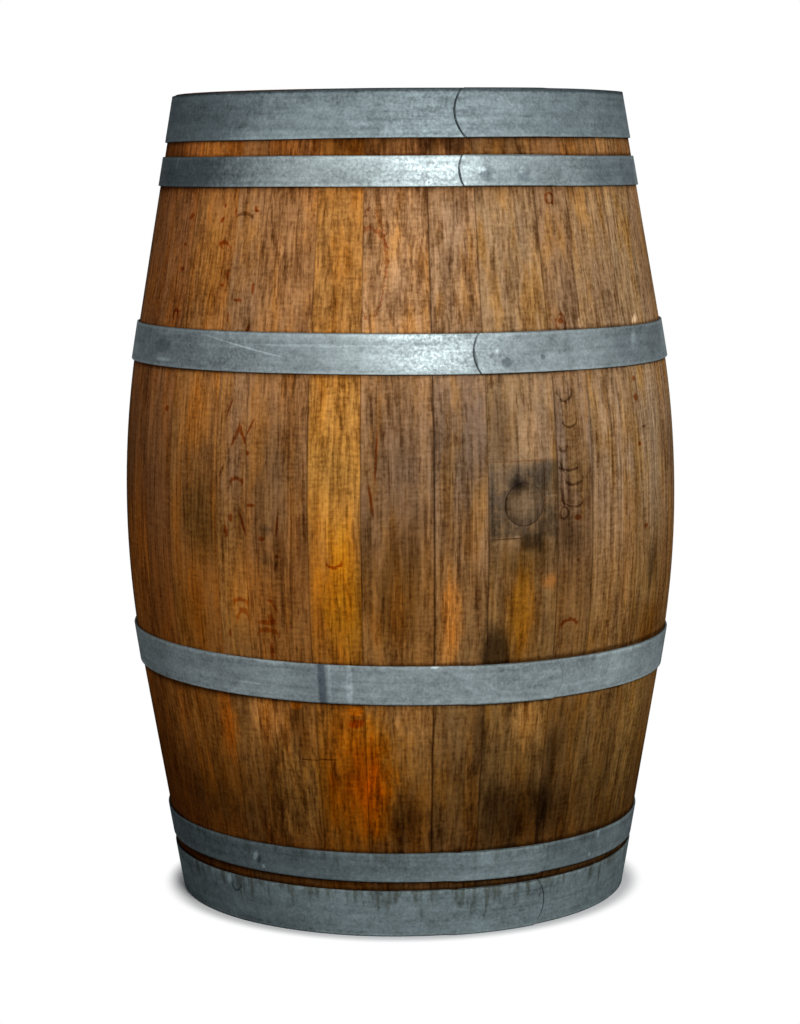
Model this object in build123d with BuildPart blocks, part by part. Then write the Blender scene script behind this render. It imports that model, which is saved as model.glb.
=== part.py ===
from build123d import *
import os
from math import asin, atan, copysign, cos, degrees, radians, sin, sqrt, tan

# An oak wine barrel standing on one end, in millimetres.
# +Z runs up the barrel's axis from the middle of its bottom end, and the bung faces -Y.
# Angles round the barrel are in degrees from -Y, growing towards +X.

# Body of the barrel
height = 950.0
bilge_diameter = 660.0          # outside, at mid-height
end_diameter = 530.0            # outside, at both ends
bilge_knee = 98.0               # mid-height to where a straight stave end, drawn on, meets the bilge tangent
stave_thickness = 27.0

# Widths of the staves at the bilge, from the bung stave round towards +X, sharing out the full turn
stave_widths = [
    86, 51, 81, 72, 88, 64, 79, 93, 70, 82, 60, 90, 76, 68,
    85, 74, 92, 66, 80, 71, 87, 58, 81, 42, 77, 60, 81, 61,
]

# Stave ends: the chime bevel, and the croze groove that holds the head
chime_land = 14.0               # flat that is left on the stave's end
chime_bevel_height = 28.0
croze_setback = 42.0            # stave end to the near side of the groove
croze_width = 6.0
croze_depth = 5.5

# Heads, each of flat boards doweled edge to edge
head_board_widths = [86, 78, 92, 81, 88, 76]    # from -X to +X, sharing out the head's diameter
head_thickness = 22.0
head_face_step = 6.0            # outer face of the head to its tongue
head_bevel_width = 24.0
head_clearance = 0.3            # tongue to the sides and bottom of the groove
tongue_relief = 1.5             # tongue's root to the stave's inside
dowel_diameter = 8.0
dowel_length = 44.0
dowel_pitch = 180.0
dowel_clearance = 0.15

# Hoops: flat strips bent to the wall, lapped and riveted in line with the bung
hoop_thickness = 2.0
hoop_clearance = 0.05           # strip to the staves, at the middle of its width
head_hoop_width = 55.0
quarter_hoop_width = 34.5
bilge_hoop_width = 45.0
head_hoop_setback = 0.5         # barrel's end to the hoop's near edge
top_quarter_setback = 75.0
bottom_quarter_setback = 63.5
top_bilge_setback = 266.5
bottom_bilge_setback = 274.0
lap_length = 108.0
lap_gap = 0.15                  # between the two layers
lap_end_bulge = 12.0            # rise of the strip's round end
joggle_gap = 1.5                # inner end of the strip to the joggle
joggle_length = 15.0

# Rivets, two to a lap
rivet_pitch = 48.0
rivet_shank_diameter = 5.0
rivet_head_diameter = 11.0
rivet_crown_diameter = 7.0      # flat left on top of the head by the hammer
rivet_head_height = 1.3
rivet_clearance = 0.1

# Bung: a taper plug driven in flush
bung_rise = 19.0                # mid-height to the bung's axis
bung_diameter = 48.0            # at its outer end
bung_taper = 4.0                # half angle, in degrees
bung_length = 46.0
bung_recess = 1.2               # outside of the staves to the bung's flat outer end
bung_clearance = 0.15           # all round in the hole

# Wall outline: a straight cone at each end, tangent to an arc through the bilge
middle = height / 2
bilge_radius = bilge_diameter / 2
end_radius = end_diameter / 2
end_slope = atan((bilge_radius - end_radius) / (middle - bilge_knee))
arc_radius = bilge_knee / tan(end_slope / 2)
arc_reach = arc_radius * sin(end_slope)


def outer_radius(z):
    """Outside radius of the staves at a height."""
    offset = abs(z - middle)
    if offset < arc_reach:
        return bilge_radius - arc_radius + sqrt(arc_radius**2 - offset**2)
    return end_radius + (middle - offset) * tan(end_slope)


def wall_lean(z):
    """How far the wall leans in towards the top at a height, in radians."""
    offset = z - middle
    if abs(offset) < arc_reach:
        return asin(offset / arc_radius)
    return copysign(end_slope, offset)


def end_inner_radius(setback):
    """Inside radius of a straight stave end, a distance in from the end."""
    return end_radius - stave_thickness / cos(end_slope) + setback * tan(end_slope)


def level(setback, at_top):
    """Height of a place that is measured in from the top or bottom end."""
    return height - setback if at_top else setback


def radial_plane(angle):
    """Upright half plane through the axis: local x is the radius, local y is the height."""
    out = (sin(radians(angle)), -cos(radians(angle)), 0)
    return Plane(origin=(0, 0, 0), x_dir=out, z_dir=Vector(*out).cross(Vector(0, 0, 1)))


os.makedirs("parts", exist_ok=True)


def save(part, name):
    """Name a finished piece and write its file."""
    part.label = name
    export_step(part, "parts/" + name + ".step")


# Section of a stave, in radius and height
croze_far = croze_setback + croze_width
groove_radius = end_inner_radius(croze_setback + croze_width / 2) + croze_depth
inner_arc_radius = arc_radius - stave_thickness
inner_arc_drop = inner_arc_radius * (1 - cos(end_slope))
inner_bilge_radius = bilge_radius - stave_thickness


def inside_end(at_top):
    """Inside of a stave from its end to where the bilge arc starts."""
    corners = [
        (end_radius - chime_land, 0),
        (end_inner_radius(chime_bevel_height), chime_bevel_height),
        (end_inner_radius(croze_setback), croze_setback),
        (groove_radius, croze_setback),
        (groove_radius, croze_far),
        (end_inner_radius(croze_far), croze_far),
        (inner_bilge_radius - inner_arc_drop, middle - inner_arc_radius * sin(end_slope)),
    ]
    return [(radius, level(setback, at_top)) for radius, setback in corners]


with BuildSketch() as stave_section:
    with BuildLine():
        arc_low = (outer_radius(middle - arc_reach), middle - arc_reach)
        arc_high = (outer_radius(middle + arc_reach), middle + arc_reach)
        bottom_inside = inside_end(False)
        top_inside = inside_end(True)
        Polyline(bottom_inside[0], (end_radius, 0), arc_low)
        ThreePointArc(arc_low, (bilge_radius, middle), arc_high)
        Polyline(arc_high, (end_radius, height), top_inside[0])
        Polyline(*top_inside)
        ThreePointArc(top_inside[-1], (inner_bilge_radius, middle), bottom_inside[-1])
        Polyline(*bottom_inside)
    make_face()


# Bung and its hole share one cone, in distance from the bung's axis and along Y
bung_level = middle + bung_rise
bung_face = outer_radius(bung_level) - bung_recess
bung_axis = Axis((0, 0, bung_level), (0, 1, 0))


def bung_radius(depth):
    """Radius of the bung's cone at a depth in from its outer end."""
    return bung_diameter / 2 - depth * tan(radians(bung_taper))


def bung_cone(start, stop, clearance):
    """Section of the cone between two depths, widened by a clearance."""
    with BuildSketch() as section:
        with BuildLine():
            Polyline(
                (0, start - bung_face),
                (bung_radius(start) + clearance, start - bung_face),
                (bung_radius(stop) + clearance, stop - bung_face),
                (0, stop - bung_face),
                close=True,
            )
        make_face()
    return section.sketch_local


with BuildPart() as bung:
    with BuildSketch(Plane.XY.offset(bung_level)):
        add(bung_cone(0, bung_length, 0))
    revolve(axis=bung_axis)
save(bung.part, "bung")

# Staves, edge to edge on radial joints, with the bung stave in the middle of the front
turn_per_width = 360 / sum(stave_widths)
stave_start = -stave_widths[0] * turn_per_width / 2
for index, width in enumerate(stave_widths):
    stave_turn = width * turn_per_width
    with BuildPart() as stave:
        with BuildSketch(radial_plane(stave_start)):
            add(stave_section.sketch_local)
        revolve(axis=Axis.Z, revolution_arc=stave_turn)
        if index == 0:
            with BuildSketch(Plane.XY.offset(bung_level)):
                add(bung_cone(-stave_thickness, 2 * stave_thickness, bung_clearance))
            revolve(axis=bung_axis, mode=Mode.SUBTRACT)
    save(stave.part, "bung_stave" if index == 0 else f"stave_{index:02d}")
    stave_start += stave_turn

# Heads: a disc with a tongue for the groove, cut into boards along Y
tongue_radius = groove_radius - head_clearance
tongue_root = end_inner_radius(croze_setback) - tongue_relief
tongue_near = croze_setback + head_clearance
tongue_far = croze_far - head_clearance
head_near = tongue_near - head_face_step
head_far = head_near + head_thickness
face_radius = tongue_root - head_bevel_width
width_share = 2 * tongue_radius / sum(head_board_widths)


def head_disc_section(at_top):
    """Half section of a whole head, in radius and height."""
    corners = [
        (0, head_near),
        (face_radius, head_near),
        (tongue_root, tongue_near),
        (tongue_radius, tongue_near),
        (tongue_radius, tongue_far),
        (tongue_root, tongue_far),
        (face_radius, head_far),
        (0, head_far),
    ]
    with BuildSketch() as section:
        with BuildLine():
            Polyline(*[(radius, level(setback, at_top)) for radius, setback in corners], close=True)
        make_face()
    return section.sketch_local


board_edges = [-tongue_radius]
for width in head_board_widths:
    board_edges.append(board_edges[-1] + width * width_share)
board_joints = board_edges[1:-1]


def dowel_places(joints, at_top):
    """Middles of the dowels across some of the board joints."""
    z = level((head_near + head_far) / 2, at_top)
    return [(x, side * dowel_pitch / 2, z) for x in joints for side in (-1, 1)]


for end, at_top in (("bottom", False), ("top", True)):
    for index in range(len(head_board_widths)):
        left, right = board_edges[index : index + 2]
        with BuildPart() as board:
            with BuildSketch(Plane.XZ):
                add(head_disc_section(at_top))
            revolve(axis=Axis.Z)
            if left in board_joints:
                split(bisect_by=Plane.YZ.offset(left), keep=Keep.TOP)
            if right in board_joints:
                split(bisect_by=Plane.YZ.offset(right), keep=Keep.BOTTOM)
            with Locations(*dowel_places([x for x in (left, right) if x in board_joints], at_top)):
                Cylinder(
                    dowel_diameter / 2 + dowel_clearance,
                    dowel_length + 2 * dowel_clearance,
                    rotation=(0, 90, 0),
                    mode=Mode.SUBTRACT,
                )
        save(board.part, f"{end}_head_board_{index + 1}")
    with BuildPart() as dowels:
        with Locations(*dowel_places(board_joints, at_top)):
            Cylinder(dowel_diameter / 2, dowel_length, rotation=(0, 90, 0))
    save(dowels.part, f"{end}_head_dowels")


# Hoops
def strip_section(z, width, layer):
    """Section of a hoop's strip on the wall: layer 0 lies on the staves, layer 1 over the lap."""
    lean = wall_lean(z)
    stand_off = hoop_clearance + layer * (hoop_thickness + lap_gap)
    corners = []
    for along, out in ((-1, 0), (1, 0), (1, 1), (-1, 1)):
        rise = along * width / 2
        off = stand_off + out * hoop_thickness
        radius = outer_radius(z) + off * cos(lean) - rise * sin(lean)
        corners.append((radius, z + off * sin(lean) + rise * cos(lean)))
    with BuildSketch() as section:
        with BuildLine():
            Polyline(*corners, close=True)
        make_face()
    return section.sketch_local


def rivet_plane(z, angle):
    """Plane on the staves under a rivet, square to the wall."""
    lean = wall_lean(z)
    out = Vector(sin(radians(angle)), -cos(radians(angle)), 0)
    seat = out * outer_radius(z) + Vector(0, 0, z)
    return Plane(origin=seat, z_dir=out * cos(lean) + Vector(0, 0, sin(lean)))


rivet_seat = hoop_clearance + 2 * hoop_thickness + lap_gap + rivet_clearance
with BuildPart() as rivet:
    with BuildSketch(Plane.XZ):
        with BuildLine():
            Polyline(
                (0, hoop_clearance),
                (rivet_shank_diameter / 2, hoop_clearance),
                (rivet_shank_diameter / 2, rivet_seat),
                (rivet_head_diameter / 2, rivet_seat),
                (rivet_crown_diameter / 2, rivet_seat + rivet_head_height),
                (0, rivet_seat + rivet_head_height),
                close=True,
            )
        make_face()
    revolve(axis=Axis.Z)


def lap_layer(z, width, way, start, turn):
    """Outer layer of a lap, with its free end cut round. way is the side its free end points to."""
    lap_tip = way * outer_radius(z) * sin(lap_length / 2 / outer_radius(z))
    round_end_radius = ((width / 2) ** 2 + lap_end_bulge**2) / (2 * lap_end_bulge)
    with BuildPart() as layer:
        with BuildSketch(radial_plane(start)):
            add(strip_section(z, width, 1))
        revolve(axis=Axis.Z, revolution_arc=turn)
        with BuildSketch(Plane.XZ):
            with Locations((lap_tip - way * round_end_radius, z)):
                Circle(round_end_radius)
            with Locations((lap_tip - way * (lap_end_bulge + lap_length), z)):
                Rectangle(2 * lap_length, 2 * width)
        extrude(amount=bilge_diameter, mode=Mode.INTERSECT)
    return layer.part


def make_hoop(name, z, width, way):
    """A hoop and its two rivets. Its outer end points to way, -1 for -X and 1 for +X."""
    turn_per_length = degrees(1 / outer_radius(z))
    half_lap = lap_length / 2 * turn_per_length
    joggle_start = half_lap + joggle_gap * turn_per_length
    joggle_end = joggle_start + joggle_length * turn_per_length
    ring_turn = 360 - joggle_end + half_lap
    ring_start = joggle_end if way < 0 else -half_lap
    layer_start = -half_lap if way < 0 else -joggle_start
    layer = lap_layer(z, width, way, layer_start, half_lap + joggle_start)
    rivet_angles = [side * rivet_pitch / 2 * turn_per_length for side in (-1, 1)]
    rivet_planes = [rivet_plane(z, angle) for angle in rivet_angles]
    with BuildPart() as hoop:
        with BuildSketch(radial_plane(ring_start)):
            add(strip_section(z, width, 0))
        revolve(axis=Axis.Z, revolution_arc=ring_turn)
        with BuildSketch(radial_plane(-way * joggle_start)):
            add(strip_section(z, width, 1))
        with BuildSketch(radial_plane(-way * joggle_end)):
            add(strip_section(z, width, 0))
        loft(ruled=True)
        add(layer)
        with Locations(*rivet_planes):
            Cylinder(rivet_shank_diameter / 2 + rivet_clearance, 2 * rivet_seat, mode=Mode.SUBTRACT)
    save(hoop.part, name)
    with BuildPart() as rivets:
        with Locations(*rivet_planes):
            add(rivet.part)
    save(rivets.part, name + "_rivets")


head_hoop_level = head_hoop_setback + head_hoop_width / 2
quarter_half = quarter_hoop_width / 2
bilge_half = bilge_hoop_width / 2
make_hoop("top_head_hoop", height - head_hoop_level, head_hoop_width, -1)
make_hoop("top_quarter_hoop", height - top_quarter_setback - quarter_half, quarter_hoop_width, -1)
make_hoop("top_bilge_hoop", height - top_bilge_setback - bilge_half, bilge_hoop_width, -1)
make_hoop("bottom_bilge_hoop", bottom_bilge_setback + bilge_half, bilge_hoop_width, 1)
make_hoop("bottom_quarter_hoop", bottom_quarter_setback + quarter_half, quarter_hoop_width, 1)
make_hoop("bottom_head_hoop", head_hoop_level, head_hoop_width, 1)
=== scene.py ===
from collections import namedtuple
from math import asin, atan, copysign, cos, degrees, pi, radians, sin, sqrt, tan
import random

import bmesh
import bpy
from mathutils import Matrix, Vector


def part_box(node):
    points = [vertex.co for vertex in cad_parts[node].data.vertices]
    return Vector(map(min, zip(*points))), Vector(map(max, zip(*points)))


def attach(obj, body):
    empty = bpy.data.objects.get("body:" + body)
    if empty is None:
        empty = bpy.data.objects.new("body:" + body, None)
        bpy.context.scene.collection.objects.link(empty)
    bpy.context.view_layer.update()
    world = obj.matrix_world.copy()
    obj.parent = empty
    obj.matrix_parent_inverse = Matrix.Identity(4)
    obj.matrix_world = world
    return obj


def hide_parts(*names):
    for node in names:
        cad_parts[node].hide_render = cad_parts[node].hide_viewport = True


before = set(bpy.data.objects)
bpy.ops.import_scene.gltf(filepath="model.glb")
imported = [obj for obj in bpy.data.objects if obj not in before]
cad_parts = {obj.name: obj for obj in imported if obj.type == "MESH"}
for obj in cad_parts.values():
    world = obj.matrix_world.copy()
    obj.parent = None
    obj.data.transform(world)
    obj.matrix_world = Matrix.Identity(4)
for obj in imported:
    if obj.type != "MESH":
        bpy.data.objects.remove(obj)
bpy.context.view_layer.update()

# An oak wine barrel standing on one end, in metres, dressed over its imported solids.
# Angles round the barrel are in degrees from -Y, where the bung is, growing towards +X.
MILLIMETRE = 0.001

# Body of the barrel
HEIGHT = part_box("bung_stave")[1].z
MIDDLE = HEIGHT / 2
BILGE_RADIUS = 0.330
END_RADIUS = 0.265
BILGE_KNEE = 0.098
STAVE_THICKNESS = 0.027
STAVE_WIDTHS = (
    86, 51, 81, 72, 88, 64, 79, 93, 70, 82, 60, 90, 76, 68,
    85, 74, 92, 66, 80, 71, 87, 58, 81, 42, 77, 60, 81, 61,
)  # shares of the full turn, from the bung stave towards +X
JOINT_GAP = 0.00005             # joint plane to the stave's side
ARRIS = 0.0005                  # rounding of a stave's long edges
STAVE_FLATNESS = 0.12           # how far a stave's outside goes from the round to a flat

# Stave ends and heads
CHIME_LAND = 0.014
CHIME_BEVEL = 0.028
CROZE_SETBACK = 0.042
CROZE_WIDTH = 0.006
CROZE_DEPTH = 0.0055
END_EASE = 0.0018
HEAD_BOARD_WIDTHS = (86, 78, 92, 81, 88, 76)
HEAD_THICKNESS = 0.022
HEAD_FACE_STEP = 0.006
HEAD_BEVEL = 0.024
HEAD_BEVEL_EASE = 0.001         # rounding where the bevel starts
HEAD_CLEARANCE = 0.0003
TONGUE_RELIEF = 0.0015
BOARD_ARRIS = 0.0012

# Hoops and rivets
HOOP_THICKNESS = 0.002
HOOP_CLEARANCE = 0.00005
HOOP_LIFT = 0.00012             # how far the strip's waves lift it off the staves
HOOP_WAVE = 0.0003              # how far the strip strays up and down, in long and short waves
HOOP_RIPPLE = 0.0002
LAP_LENGTH = 0.108
LAP_GAP = 0.00015
JOGGLE_GAP = 0.0015
JOGGLE_LENGTH = 0.015
HOOP_EDGE = 0.0006              # rounding of a hoop's edges
RIVET_PITCH = 0.048
RIVET_REACH = 0.0095            # radius at which a rivet's swell runs out
RIVET_ROOT = 0.0008             # how deep its rim is sunk in the strip
RIVET_SINK = 0.0002             # how deep its swell is sunk in the strip

# Bung
BUNG_RADIUS = 0.024
BUNG_TAPER = tan(radians(4))
BUNG_LENGTH = 0.046
BUNG_RECESS = 0.0012
BUNG_CLEARANCE = 0.00015
BUNG_EASE = 0.0008
BUNG_CROWN = 0.0002             # how far the middle of its outer face swells
BUNG_LEVEL = MIDDLE + 0.019

END_SLOPE = atan((BILGE_RADIUS - END_RADIUS) / (MIDDLE - BILGE_KNEE))
ARC_RADIUS = BILGE_KNEE / tan(END_SLOPE / 2)
ARC_REACH = ARC_RADIUS * sin(END_SLOPE)

# Camera, as the photograph was taken
VIEW_ANGLE = -24.5              # degrees round the barrel
VIEW_DISTANCE = 3.2325
VIEW_HEIGHT = 0.8628
VIEW_PITCH = 5.604              # degrees down
VIEW_ROLL = -0.410
IMAGE_WIDTH, IMAGE_HEIGHT = 800, 1024
FOCAL_PIXELS = 2692.7
PRINCIPAL_COLUMN, PRINCIPAL_ROW = 399.9, 432.0
SENSOR = 36.0


def outer_radius(z):
    """Outside radius of the staves at a height."""
    offset = abs(z - MIDDLE)
    if offset < ARC_REACH:
        return BILGE_RADIUS - ARC_RADIUS + sqrt(ARC_RADIUS**2 - offset**2)
    return END_RADIUS + (MIDDLE - offset) * tan(END_SLOPE)


def wall_lean(z):
    """How far the wall leans in towards the top at a height, in radians."""
    offset = z - MIDDLE
    if abs(offset) < ARC_REACH:
        return asin(offset / ARC_RADIUS)
    return copysign(END_SLOPE, offset)


def inner_radius(z):
    """Inside radius of the staves at a height."""
    offset = abs(z - MIDDLE)
    inner_arc = ARC_RADIUS - STAVE_THICKNESS
    if offset < inner_arc * sin(END_SLOPE):
        return BILGE_RADIUS - ARC_RADIUS + sqrt(inner_arc**2 - offset**2)
    return outer_radius(z) - STAVE_THICKNESS / cos(END_SLOPE)


GROOVE_RADIUS = inner_radius(CROZE_SETBACK + CROZE_WIDTH / 2) + CROZE_DEPTH


def on_wall(angle, radius, z):
    """Point at an angle in radians, a radius and a height."""
    return (radius * sin(angle), -radius * cos(angle), z)


def tangent(angle):
    """Direction along the wall at an angle in degrees, growing with the angle."""
    return (cos(radians(angle)), sin(radians(angle)), 0.0)


def outward(angle):
    """Direction straight out of the wall at an angle in degrees."""
    return (sin(radians(angle)), -cos(radians(angle)), 0.0)


def scaled(direction, factor):
    return tuple(component * factor for component in direction)


def stave_ranges():
    """Name, first angle and last angle of every stave, in degrees."""
    share = 360 / sum(STAVE_WIDTHS)
    start = -STAVE_WIDTHS[0] * share / 2
    ranges = []
    for index, width in enumerate(STAVE_WIDTHS):
        name = "bung_stave" if index == 0 else f"stave_{index:02d}"
        whole_turn = 360 if start > 180 else 0
        ranges.append((name, start - whole_turn, start + width * share - whole_turn))
        start += width * share
    return ranges


# Shader maths
def srgb(red, green, blue):
    """A colour written from 0 to 255, as a shader takes it."""
    channels = [c / 255 for c in (red, green, blue)]
    return tuple(c / 12.92 if c <= 0.04045 else ((c + 0.055) / 1.055) ** 2.4 for c in channels)


def grey(level):
    return (level, level, level)


class Value:
    """A socket of a finish, whose maths is written as Python expressions."""

    def __init__(self, finish, socket):
        self.finish = finish
        self.socket = socket

    def __add__(self, other):
        return self.finish.maths("ADD", self, other)

    __radd__ = __add__

    def __sub__(self, other):
        return self.finish.maths("SUBTRACT", self, other)

    def __rsub__(self, other):
        return self.finish.maths("SUBTRACT", other, self)

    def __mul__(self, other):
        return self.finish.maths("MULTIPLY", self, other)

    __rmul__ = __mul__

    def __truediv__(self, other):
        return self.finish.maths("DIVIDE", self, other)

    def __rtruediv__(self, other):
        return self.finish.maths("DIVIDE", other, self)

    def __abs__(self):
        return self.finish.maths("ABSOLUTE", self)


class Finish:
    """A material, or the world, that is built node by node."""

    def __init__(self, name, owners=bpy.data.materials):
        self.owner = owners.new(name)
        self.owner.use_nodes = True
        self.tree = self.owner.node_tree
        self.tree.nodes.clear()

    def node(self, kind, settings, sockets, output=0):
        """Add a node: its settings first, then its sockets' values or links. Gives one of its outputs."""
        node = self.tree.nodes.new("ShaderNode" + kind)
        for name, setting in settings.items():
            if name == "stops":
                set_stops(node.color_ramp, setting)
            else:
                setattr(node, name, setting)
        for key, value in sockets.items():
            socket = node.inputs[key]
            if isinstance(value, Value):
                self.tree.links.new(value.socket, socket)
            elif socket.type == "RGBA":
                socket.default_value = (*value, 1)
            else:
                socket.default_value = value
        return Value(self, node.outputs[output]) if node.outputs else None

    def maths(self, operation, *values):
        return self.node("Math", {"operation": operation}, dict(enumerate(values)))

    def most(self, first, second):
        return self.maths("MAXIMUM", first, second)

    def length(self, first, second):
        return self.maths("SQRT", first * first + second * second)

    def step(self, value, low, high):
        """Rises smoothly from 0 at low to 1 at high."""
        settings = {"interpolation_type": "SMOOTHSTEP"}
        return self.node("MapRange", settings, {"Value": value, "From Min": low, "From Max": high})

    def mix(self, factor, first, second, blend="MIX"):
        settings = {"data_type": "RGBA", "blend_type": blend}
        return self.node("Mix", settings, {0: factor, 6: first, 7: second}, output=2)

    def tint(self, factor, colour, tint):
        """The colour multiplied by a tint, as far as the factor says."""
        return self.mix(factor, colour, tint, "MULTIPLY")

    def ramp(self, value, stops):
        return self.node("ValToRGB", {"stops": stops}, {"Fac": value})

    def place(self):
        """Position on the barrel at rest, in metres."""
        return self.node("TexCoord", {}, {}, output="Object")

    def along(self, place, direction):
        """How far a place lies along a direction."""
        return self.node("VectorMath", {"operation": "DOT_PRODUCT"}, {0: place, 1: direction}, output="Value")

    def axes(self, place):
        """How far a place lies along X, Y and Z."""
        return [self.along(place, axis) for axis in ((1, 0, 0), (0, 1, 0), (0, 0, 1))]

    def point(self, x, y, z):
        return self.node("CombineXYZ", {}, {"X": x, "Y": y, "Z": z})

    def noise(self, place, detail=2, roughness=0.5, scale=1.0):
        """Noise at a place, which may be given by its three coordinates."""
        if isinstance(place, tuple):
            place = self.point(*place)
        sockets = {"Vector": place, "Scale": scale, "Detail": detail, "Roughness": roughness}
        return self.node("TexNoise", {}, sockets)

    def cells(self, place, output):
        settings = {"voronoi_dimensions": "2D"}
        return self.node("TexVoronoi", settings, {"Vector": place, "Scale": 1.0}, output=output)

    def seen(self):
        """1 for a ray from the camera, from a reflection or through something clear, and 0 for others."""
        seen = 0.0
        for kind in ("Camera", "Glossy", "Transmission"):
            seen = self.most(seen, self.node("LightPath", {}, {}, output=f"Is {kind} Ray"))
        return seen

    def surface(self, colour, roughness, height, relief, **others):
        """Close the finish: height 0 to 1 stands for a relief in metres."""
        bump = self.node("Bump", {}, {"Strength": 1.0, "Distance": relief, "Height": height})
        sockets = {"Base Color": colour, "Roughness": roughness, "Normal": bump}
        sockets.update({name.replace("_", " "): value for name, value in others.items()})
        shader = self.node("BsdfPrincipled", {}, sockets)
        self.node("OutputMaterial", {}, {"Surface": shader})
        return self.owner


def set_stops(ramp, stops):
    """Give a colour ramp its stops: (position, colour) or (position, grey level)."""
    while len(ramp.elements) < len(stops):
        ramp.elements.new(1.0)
    for element, (position, colour) in zip(ramp.elements, stops):
        element.position = position
        element.color = (*colour, 1) if isinstance(colour, tuple) else (*grey(colour), 1)


def tone_of(*layers):
    """A tone about 1 from pairs of a noise and its weight."""
    tone = 1
    for layer, weight in layers:
        tone = tone + (layer - 0.5) * weight
    return tone


# Oak grain. A tint is a factor on the red, green and blue of what lies under it.
GRAIN_TINTS = [
    (0.18, (0.36, 0.29, 0.22)),
    (0.35, (0.68, 0.63, 0.57)),
    (0.5, (1, 1, 1)),
    (0.65, (1.3, 1.34, 1.4)),
    (0.82, (1.6, 1.7, 1.85)),
]
PORE_TINT = (0.42, 0.33, 0.25)
OAK_ROUGHNESS = 0.64
PORE_ROUGHNESS = 0.2            # what the pores add to it
OAK_RELIEF = 0.0003
STAVE_RELIEF = 0.00028
OAK_SHINE = 0.0                 # specular level of dry oak

Grain = namedtuple("Grain", "tints pores relief")


def oak_grain(f, across, depth, along, seed, coarse):
    """Grain of a board: the tints of its tone, and its pores and its relief from 0 to 1."""
    bend = f.noise((across * 6 + seed, depth * 6, along * 1.6)) - 0.5
    ripple = f.noise((across * 30 + seed, depth * 30, along * 11)) - 0.5
    line = across + bend * 0.012 + ripple * 0.0018
    cloud = f.noise((across * 16 + seed, depth * 16, along * 6), 4, 0.6)
    streak = f.noise((line * 110 + seed, depth * 80, along * 4.5), 5, 0.68)
    fibre = f.noise((line * 270, depth * 180, along * 10 + seed))
    meal = f.noise((across * 260, depth * 260, along * 260 + seed))
    scuff = f.noise((across * 50, depth * 50, along * 300 + seed))
    tone = tone_of((cloud, 0.9), (streak, 1.7), (fibre, 1.5), (meal, 1.0), (scuff, 0.6))
    thick = (cloud - 0.5) * -0.5
    short_pores = f.step(f.noise((line * 320 + seed, depth * 220, along * 34)) + thick, 0.57, 0.67)
    long_pores = f.step(f.noise((line * 210, depth * 150, along * 9 + seed)) + thick, 0.58, 0.67)
    pores = f.most(short_pores * 0.6, long_pores * coarse)
    relief = fibre * 0.5 + streak * 0.5 - pores * 0.6
    return Grain(f.ramp(tone * 0.5, GRAIN_TINTS), pores, relief)


def oak_surface(f, colour, grain, roughness, relief):
    """Close an oak finish, with its pores darker and rougher."""
    colour = f.tint(grain.pores, colour, PORE_TINT)
    roughness = roughness + grain.pores * PORE_ROUGHNESS
    return f.surface(colour, roughness, grain.relief, relief, Specular_IOR_Level=OAK_SHINE)


# How the oak's colour changes over the height: grimy and damp low down, bleached high up
AGE_TINTS = [
    (0, (0.16, 0.13, 0.09)),
    (0.07, (0.17, 0.14, 0.09)),
    (0.11, (0.27, 0.21, 0.11)),
    (0.17, (0.31, 0.26, 0.14)),
    (0.25, (0.54, 0.47, 0.28)),
    (0.43, (0.6, 0.52, 0.36)),
    (0.56, (0.66, 0.69, 0.74)),
    (0.7, (0.92, 0.93, 0.95)),
    (0.86, (1, 1, 1)),
    (0.91, (0.72, 0.58, 0.42)),
]
WARM_TINT = (1.15, 0.98, 0.58)
COOL_TINT = (0.86, 0.92, 1.08)
# Tint of the dirt along the joints and of the painted shade beside the hoops
DIRT_AND_SHADE_TINT = (0.22, 0.17, 0.13)
JOINT_LINE = (0.0002, 0.0022)   # distances from a joint between which its dirt fades
JOINT_WANDER = 0.0016           # how far that line strays

StaveLook = namedtuple("StaveLook", "tone coarse joint")
STAVE_LOOKS = {
    # Its tone high up, how coarse its pores are and how dark its joint with the stave before it is
    "stave_20": StaveLook(srgb(170, 106, 58), 0.3, 0.25),
    "stave_21": StaveLook(srgb(170, 108, 59), 0.3, 0.25),
    "stave_22": StaveLook(srgb(178, 117, 60), 0.5, 0.5),
    "stave_23": StaveLook(srgb(166, 118, 74), 0.2, 0.25),
    "stave_24": StaveLook(srgb(168, 116, 68), 0.7, 0.2),
    "stave_25": StaveLook(srgb(177, 121, 60), 0.35, 0.45),
    "stave_26": StaveLook(srgb(175, 129, 85), 0.65, 0.3),
    "stave_27": StaveLook(srgb(159, 121, 85), 0.55, 0.8),
    "bung_stave": StaveLook(srgb(150, 116, 80), 0.35, 0.4),
    "stave_01": StaveLook(srgb(147, 111, 76), 0.3, 0.5),
    "stave_02": StaveLook(srgb(158, 122, 84), 0.25, 0.4),
    "stave_03": StaveLook(srgb(168, 132, 91), 0.3, 0.45),
    "stave_04": StaveLook(srgb(176, 135, 94), 0.35, 0.4),
}
USUAL_TONE = (166, 123, 81)

Stain = namedtuple("Stain", "angle height half_width half_height tint strength")
STAIN_FADE = (0.30, 1.20)       # where a stain starts to fade and where it ends, its edge being at 1
STAIN_REACH = 1.3               # how far out a stain is looked for
STAIN_RAGGED = 1.5              # how far the grain frays a stain


def stains(*rows):
    """Stains from their angle, their height and half sizes in millimetres, their tint and their strength."""
    made = []
    for angle, *sizes, tint, strength in rows:
        made.append(Stain(angle, *scaled(sizes, MILLIMETRE), tint, strength))
    return made


BUNG_STAIN = stains((0.2, 498.5, 44, 42.5, (0.44, 0.51, 0.65), 0.92))[0]
SMUDGES = stains(
    (-1.4, 516, 14, 12, (0.24, 0.24, 0.27), 0.9), (1.6, 452, 15, 13, (0.2, 0.2, 0.22), 0.9),
)
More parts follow.
